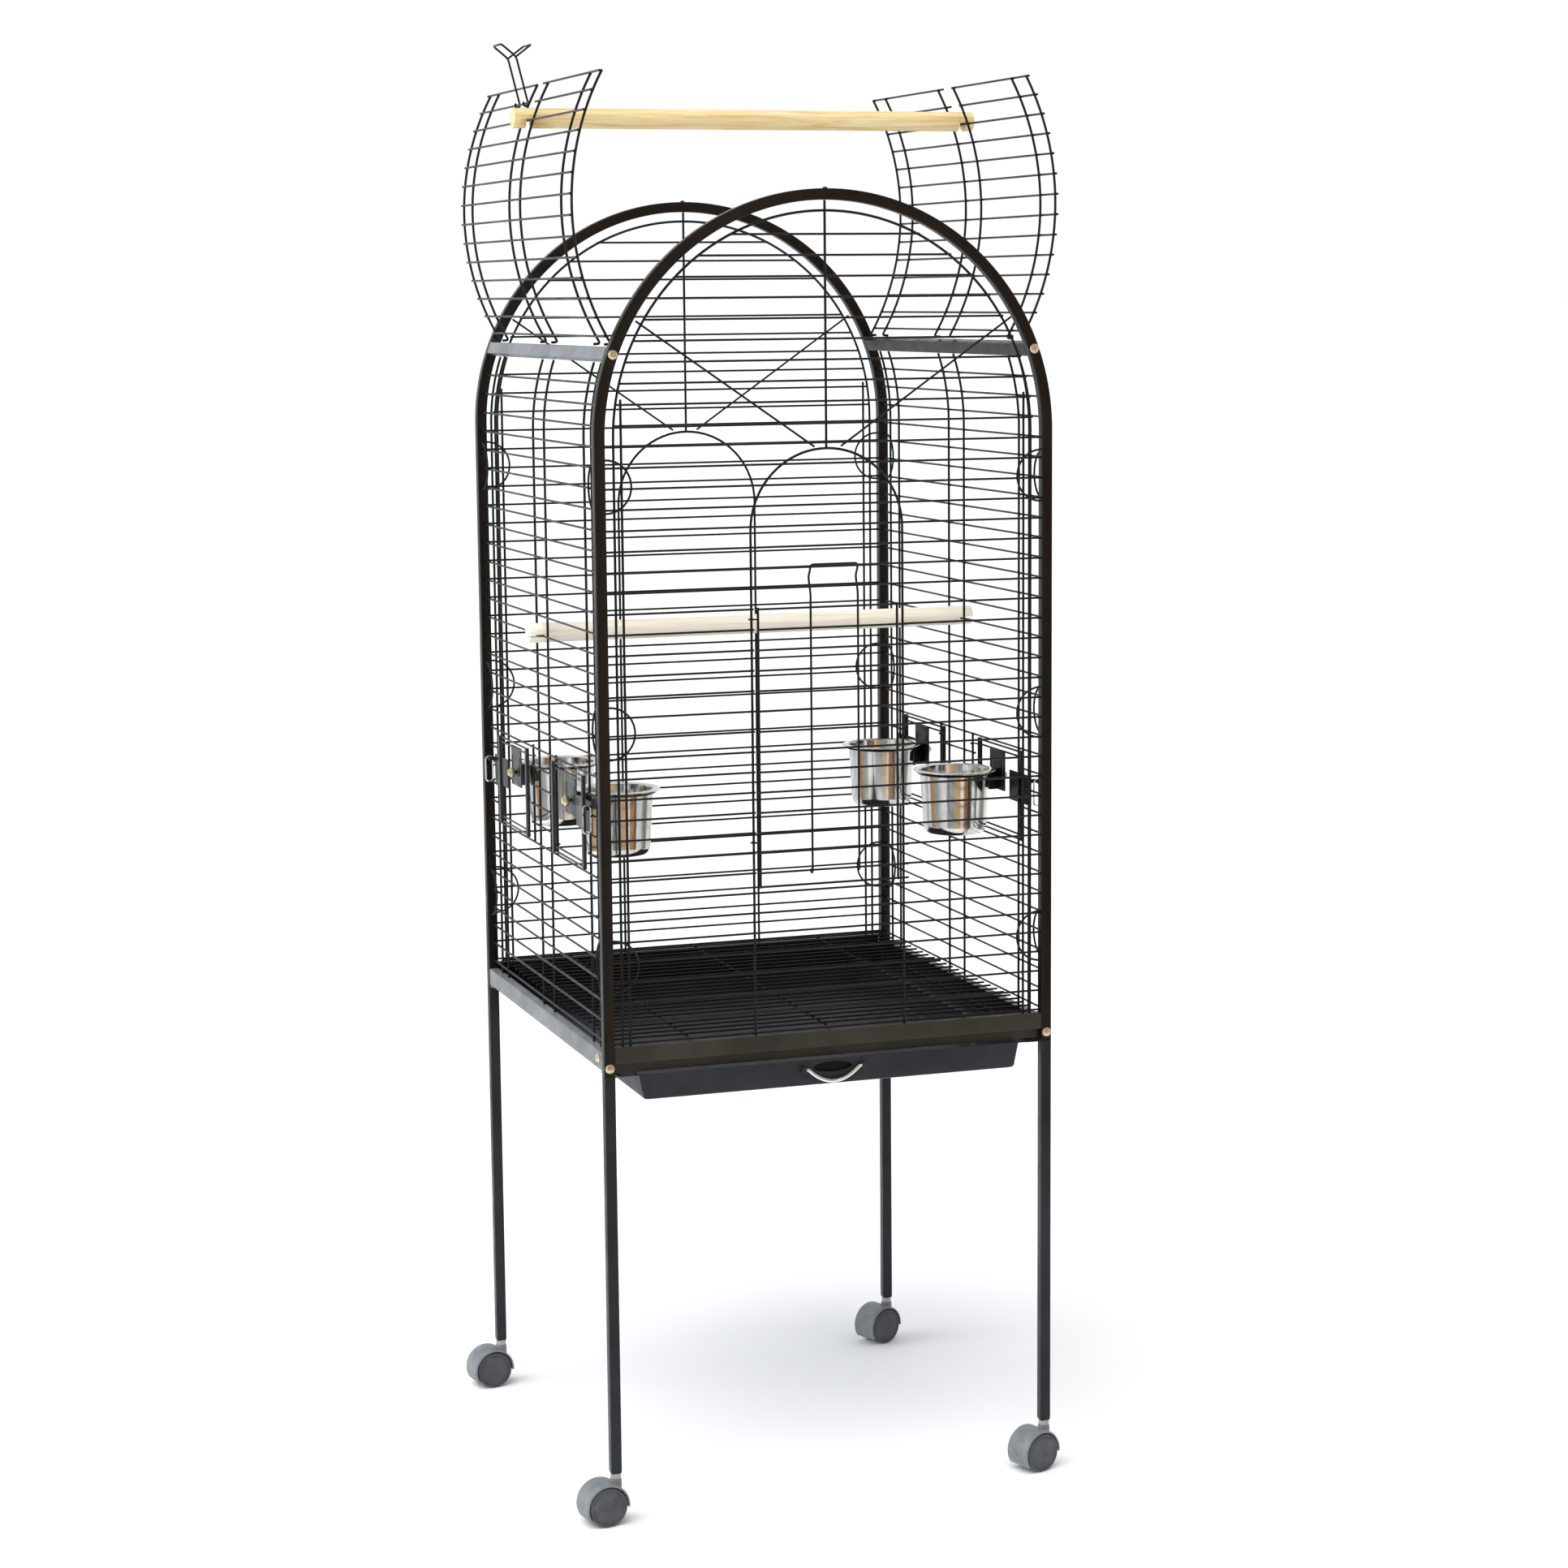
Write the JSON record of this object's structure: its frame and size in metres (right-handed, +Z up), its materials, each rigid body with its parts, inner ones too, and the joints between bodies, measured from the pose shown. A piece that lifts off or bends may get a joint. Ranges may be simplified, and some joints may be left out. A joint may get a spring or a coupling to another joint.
{
  "type": "bird breeding cage",
  "caption": "Arched wire cage on castor legs with hinged top flaps, front door, side feeder doors with steel cups, perches and a slide-out tray.",
  "frame": {"origin": "centre of the bounding box's bottom face, on the floor", "axes": "+Z up, the front with the door and the tray handle faces -Y, +X to the right seen from the front"},
  "size_m": [0.5726, 0.5578, 1.6048],
  "materials": {
    "frame_paint": "satin dark brown-black powder coat",
    "front_rail_paint": "satin dark olive-grey powder coat",
    "side_rail_paint": "satin light grey powder coat",
    "wire_paint": "satin black powder coat on wire",
    "leg_paint": "satin black powder coat",
    "tray_paint": "satin charcoal powder coat",
    "fitting_paint": "satin black powder coat",
    "brass_plating": "polished",
    "cup_steel": "mirror-polished stainless steel",
    "bright_chrome": "bright plated",
    "perch_wood": "bare turned pine",
    "pale_perch_wood": "bare turned pale dowel",
    "castor_plastic": "moulded grey plastic",
    "wheel_plastic": "moulded dark grey plastic"
  },
  "bodies": {
    "cage": {"front_arch_frame": "frame_paint", "rear_arch_frame": "frame_paint", "left_upper_rail": "side_rail_paint", "right_upper_rail": "frame_paint", "front_lower_rail": "front_rail_paint", "rear_lower_rail": "frame_paint", "left_lower_rail": "side_rail_paint", "right_lower_rail": "frame_paint", "front_grille": "wire_paint", "rear_grille": "wire_paint", "left_side_grille": "wire_paint", "right_side_grille": "wire_paint", "floor_grate": "wire_paint", "inner_perch": "pale_perch_wood", "front_left_leg": "leg_paint", "front_left_lower_bolt": "brass_plating", "front_left_upper_bolt": "brass_plating", "front_right_leg": "leg_paint", "front_right_lower_bolt": "brass_plating", "front_right_upper_bolt": "brass_plating", "rear_left_leg": "leg_paint", "rear_left_lower_bolt": "brass_plating", "rear_left_upper_bolt": "brass_plating", "rear_right_leg": "leg_paint", "rear_right_lower_bolt": "brass_plating", "rear_right_upper_bolt": "brass_plating", "left_side_bolt": "brass_plating", "right_side_bolt": "brass_plating"},
    "left_flap": {"left_top_flap": "wire_paint"},
    "right_flap": {"right_top_flap": "wire_paint"},
    "top_perch": {"top_perch": "perch_wood"},
    "top_latch": {"top_latch": "wire_paint"},
    "front_door": {"front_door": "wire_paint"},
    "door_latch": {"door_latch": "wire_paint"},
    "tray": {"tray": "tray_paint"},
    "tray_handle": {"tray_handle": "bright_chrome"},
    "front_left_feeder_door": {"front_left_feeder_door": "fitting_paint", "front_left_cup_holder": "fitting_paint"},
    "front_left_cup": {"front_left_cup": "cup_steel"},
    "front_left_feeder_latch": {"front_left_feeder_latch": "bright_chrome"},
    "front_left_castor": {"front_left_castor_housing": "castor_plastic"},
    "front_left_wheel": {"front_left_castor_wheel": "wheel_plastic"},
    "front_right_feeder_door": {"front_right_feeder_door": "fitting_paint", "front_right_cup_holder": "fitting_paint"},
    "front_right_cup": {"front_right_cup": "cup_steel"},
    "front_right_feeder_latch": {"front_right_feeder_latch": "bright_chrome"},
    "front_right_castor": {"front_right_castor_housing": "castor_plastic"},
    "front_right_wheel": {"front_right_castor_wheel": "wheel_plastic"},
    "rear_left_feeder_door": {"rear_left_feeder_door": "fitting_paint", "rear_left_cup_holder": "fitting_paint"},
    "rear_left_cup": {"rear_left_cup": "cup_steel"},
    "rear_left_feeder_latch": {"rear_left_feeder_latch": "bright_chrome"},
    "rear_left_castor": {"rear_left_castor_housing": "castor_plastic"},
    "rear_left_wheel": {"rear_left_castor_wheel": "wheel_plastic"},
    "rear_right_feeder_door": {"rear_right_feeder_door": "fitting_paint", "rear_right_cup_holder": "fitting_paint"},
    "rear_right_cup": {"rear_right_cup": "cup_steel"},
    "rear_right_feeder_latch": {"rear_right_feeder_latch": "bright_chrome"},
    "rear_right_castor": {"rear_right_castor_housing": "castor_plastic"},
    "rear_right_wheel": {"rear_right_castor_wheel": "wheel_plastic"}
  },
  "joints": [
    {"name": "left_flap_hinge", "type": "hinge", "parent": "cage", "child": "left_flap", "pos_m": [-0.22338, 0.00452, 1.277], "axis": [0, 1, 0], "range_deg": [0, 53.7]},
    {"name": "right_flap_hinge", "type": "hinge", "parent": "cage", "child": "right_flap", "pos_m": [0.24362, 0.00452, 1.277], "axis": [0, 1, 0], "range_deg": [-53.7, 0]},
    {"name": "top_perch_lift", "type": "slide", "parent": "cage", "child": "top_perch", "axis": [0, 0, 1], "range_m": [0, 0.5628]},
    {"name": "top_latch_hinge", "type": "hinge", "parent": "left_flap", "child": "top_latch", "pos_m": [-0.24035, 0.00452, 1.53913], "axis": [0, 1, 0], "range_deg": [0, 24]},
    {"name": "front_door_hinge", "type": "hinge", "parent": "cage", "child": "front_door", "pos_m": [-0.07638, -0.24708, 0.7083], "axis": [0, 0, -1], "range_deg": [0, 85]},
    {"name": "door_latch_hinge", "type": "hinge", "parent": "front_door", "child": "door_latch", "pos_m": [0.01512, -0.25278, 0.7083], "axis": [1, 0, 0], "range_deg": [0, 8], "stiffness_Nm_per_rad": 1.2, "springref_deg": -2.86},
    {"name": "tray_slide", "type": "slide", "parent": "cage", "child": "tray", "axis": [0, -1, 0], "range_m": [0, 0.44]},
    {"name": "tray_handle_hinge", "type": "hinge", "parent": "tray", "child": "tray_handle", "pos_m": [0.01012, -0.25818, 0.488], "axis": [-1, 0, 0], "range_deg": [0, 80]},
    {"name": "front_left_feeder_hinge", "type": "hinge", "parent": "cage", "child": "front_left_feeder_door", "pos_m": [-0.24098, -0.04548, 0.712], "axis": [0, 0, -1], "range_deg": [0, 90]},
    {"name": "front_left_cup_lift", "type": "slide", "parent": "front_left_feeder_door", "child": "front_left_cup", "axis": [0, 0, 1], "range_m": [0, 0.09]},
    {"name": "front_left_feeder_latch_hinge", "type": "hinge", "parent": "front_left_feeder_door", "child": "front_left_feeder_latch", "pos_m": [-0.25238, -0.20943, 0.784], "axis": [0, 1, 0], "range_deg": [0, 85]},
    {"name": "front_left_swivel", "type": "hinge", "parent": "cage", "child": "front_left_castor", "pos_m": [-0.24388, -0.24948, 0.055], "axis": [0, 0, 1], "continuous": true},
    {"name": "front_left_wheel_spin", "type": "hinge", "parent": "front_left_castor", "child": "front_left_wheel", "pos_m": [-0.25876, -0.25131, 0.022], "axis": [-0.1219, 0.9925, 0], "continuous": true},
    {"name": "front_right_feeder_hinge", "type": "hinge", "parent": "cage", "child": "front_right_feeder_door", "pos_m": [0.26122, -0.04548, 0.712], "axis": [0, 0, 1], "range_deg": [0, 90]},
    {"name": "front_right_cup_lift", "type": "slide", "parent": "front_right_feeder_door", "child": "front_right_cup", "axis": [0, 0, 1], "range_m": [0, 0.09]},
    {"name": "front_right_feeder_latch_hinge", "type": "hinge", "parent": "front_right_feeder_door", "child": "front_right_feeder_latch", "pos_m": [0.27262, -0.20943, 0.784], "axis": [0, -1, 0], "range_deg": [0, 85]},
    {"name": "front_right_swivel", "type": "hinge", "parent": "cage", "child": "front_right_castor", "pos_m": [0.26412, -0.24948, 0.055], "axis": [0, 0, 1], "continuous": true},
    {"name": "front_right_wheel_spin", "type": "hinge", "parent": "front_right_castor", "child": "front_right_wheel", "pos_m": [0.24986, -0.25411, 0.022], "axis": [-0.309, 0.9511, 0], "continuous": true},
    {"name": "rear_left_feeder_hinge", "type": "hinge", "parent": "cage", "child": "rear_left_feeder_door", "pos_m": [-0.24098, 0.05452, 0.712], "axis": [0, 0, 1], "range_deg": [0, 90]},
    {"name": "rear_left_cup_lift", "type": "slide", "parent": "rear_left_feeder_door", "child": "rear_left_cup", "axis": [0, 0, 1], "range_m": [0, 0.09]},
    {"name": "rear_left_feeder_latch_hinge", "type": "hinge", "parent": "rear_left_feeder_door", "child": "rear_left_feeder_latch", "pos_m": [-0.25238, 0.21847, 0.784], "axis": [0, 1, 0], "range_deg": [0, 85]},
    {"name": "rear_left_swivel", "type": "hinge", "parent": "cage", "child": "rear_left_castor", "pos_m": [-0.24388, 0.25852, 0.055], "axis": [0, 0, 1], "continuous": true},
    {"name": "rear_left_wheel_spin", "type": "hinge", "parent": "rear_left_castor", "child": "rear_left_wheel", "pos_m": [-0.25873, 0.25644, 0.022], "axis": [-0.1392, 0.9903, 0], "continuous": true},
    {"name": "rear_right_feeder_hinge", "type": "hinge", "parent": "cage", "child": "rear_right_feeder_door", "pos_m": [0.26122, 0.05452, 0.712], "axis": [0, 0, -1], "range_deg": [0, 90]},
    {"name": "rear_right_cup_lift", "type": "slide", "parent": "rear_right_feeder_door", "child": "rear_right_cup", "axis": [0, 0, 1], "range_m": [0, 0.09]},
    {"name": "rear_right_feeder_latch_hinge", "type": "hinge", "parent": "rear_right_feeder_door", "child": "rear_right_feeder_latch", "pos_m": [0.27262, 0.21847, 0.784], "axis": [0, -1, 0], "range_deg": [0, 85]},
    {"name": "rear_right_swivel", "type": "hinge", "parent": "cage", "child": "rear_right_castor", "pos_m": [0.26412, 0.25852, 0.055], "axis": [0, 0, 1], "continuous": true},
    {"name": "rear_right_wheel_spin", "type": "hinge", "parent": "rear_right_castor", "child": "rear_right_wheel", "pos_m": [0.25022, 0.2529, 0.022], "axis": [-0.3746, 0.9272, 0], "continuous": true}
  ],
  "couplings": [
    {"joint": "right_flap_hinge", "follows": "left_flap_hinge", "ratio": -1},
    {"joint": "top_perch_lift", "follows": "left_flap_hinge", "m_per_rad": 0.6}
  ]
}
